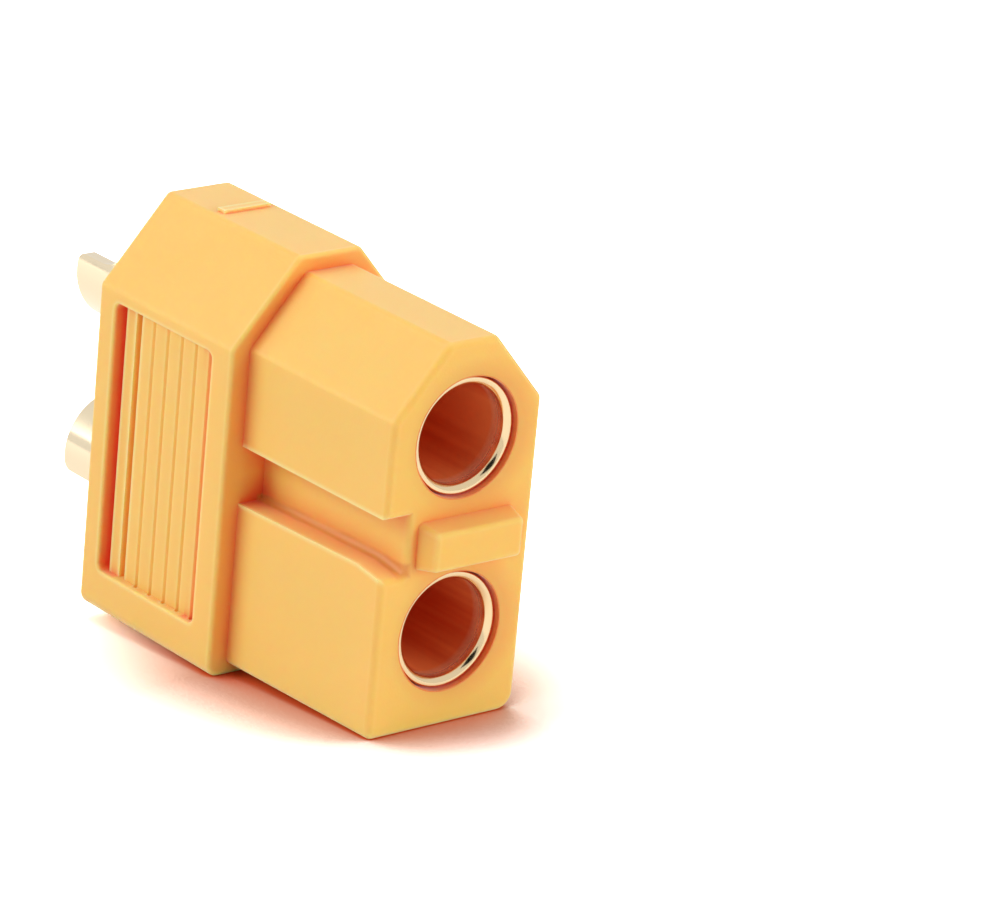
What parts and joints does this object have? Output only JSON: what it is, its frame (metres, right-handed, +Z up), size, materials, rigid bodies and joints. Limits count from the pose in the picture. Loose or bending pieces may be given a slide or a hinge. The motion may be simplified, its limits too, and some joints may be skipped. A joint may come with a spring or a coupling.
{
  "type": "power connector plug",
  "caption": "Keyed power connector plug: stepped moulded housing with chamfered end, ribbed side panels, side groove and key bar, and gold-coloured socket contacts ending in open solder cups.",
  "frame": {"origin": "on the flat end, below the centre of the overall box", "axes": "+Z up from the flat end to the chamfered end, -Y the way the nose points when it mates, +Y towards the solder cups, -X the side with the groove"},
  "size_m": [0.0082, 0.021, 0.0156],
  "materials": {
    "nylon": "fine satin, as moulded",
    "gilt": "polished plating"
  },
  "bodies": {
    "root": {"housing": "nylon", "contact_negative": "gilt", "contact_positive": "gilt"}
  },
  "joints": []
}
